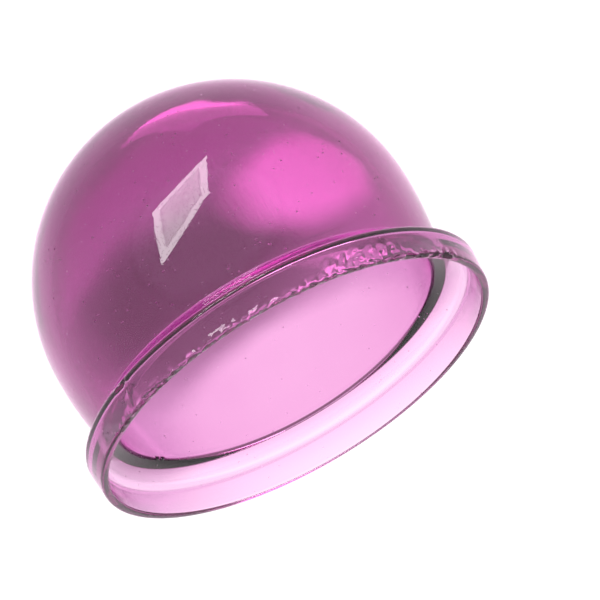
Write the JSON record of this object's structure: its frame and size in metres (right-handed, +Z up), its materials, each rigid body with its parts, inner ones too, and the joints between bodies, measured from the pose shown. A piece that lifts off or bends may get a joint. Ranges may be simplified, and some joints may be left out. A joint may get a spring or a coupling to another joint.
{
  "type": "silicone cupping cup",
  "caption": "Squeezable clear silicone cupping cup: a thin round dome above a groove, a flared shoulder and an upright lip that seals on the skin.",
  "frame": {"origin": "centre of the ring on which the lip rests", "axes": "+Z up along the cup's axis towards the crown, -Y towards the thumb zone"},
  "size_m": [0.07, 0.07, 0.055],
  "materials": {
    "silicone": "gloss"
  },
  "bodies": {
    "finger_side": {"crown": "silicone", "dome_finger": "silicone", "dome_left": "silicone", "dome_right": "silicone", "shoulder_finger": "silicone", "shoulder_left": "silicone", "shoulder_right": "silicone", "lip_finger": "silicone", "lip_left": "silicone", "lip_right": "silicone"},
    "thumb_side": {"dome_thumb": "silicone", "shoulder_thumb": "silicone", "lip_thumb": "silicone"}
  },
  "joints": [
    {"name": "thumb_squeeze", "type": "hinge", "parent": "finger_side", "child": "thumb_side", "pos_m": [0, -0.018, 0.046], "axis": [1, 0, 0], "range_deg": [0, 45], "stiffness_Nm_per_rad": 0.8, "deforming": ["crown", "dome_left", "dome_right", "shoulder_left", "shoulder_right", "lip_left", "lip_right"]}
  ]
}
